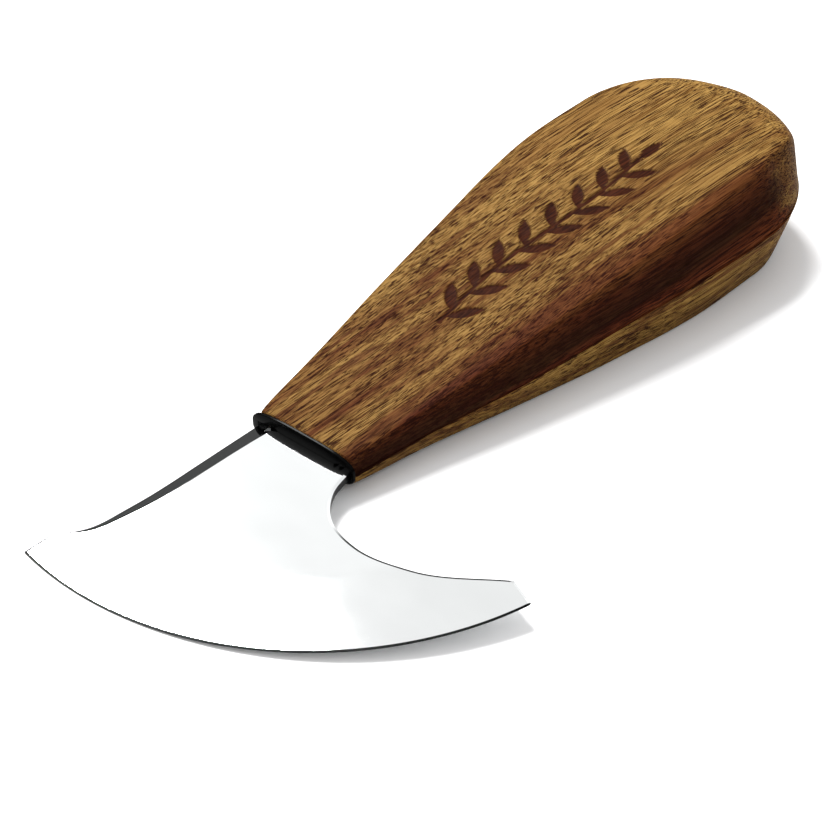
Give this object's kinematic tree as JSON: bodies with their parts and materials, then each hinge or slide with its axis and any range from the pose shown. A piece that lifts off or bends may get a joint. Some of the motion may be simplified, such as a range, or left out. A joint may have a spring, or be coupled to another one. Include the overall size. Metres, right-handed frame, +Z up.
{
  "type": "leather head knife",
  "caption": "Small head knife with a skewed crescent steel blade, black front plate and faceted two-piece walnut handle.",
  "frame": {"origin": "bottom centre of the bounding box, on the plane of the bench that the knife lies on", "axes": "+X along the handle from the blade towards the butt, +Z up out of the bench, +Y to the left of the knife"},
  "size_m": [0.159, 0.0714, 0.021],
  "materials": {
    "polished_steel": "mirror polished",
    "black_resin": "matt, hidden",
    "black_gloss": "gloss",
    "walnut_upper": "satin oil",
    "walnut_lower": "satin oil"
  },
  "bodies": {
    "root": {"blade": "polished_steel", "tang_bedding": "black_resin", "front_plate": "black_gloss", "handle_upper_half": "walnut_upper", "handle_lower_half": "walnut_lower"}
  },
  "joints": []
}
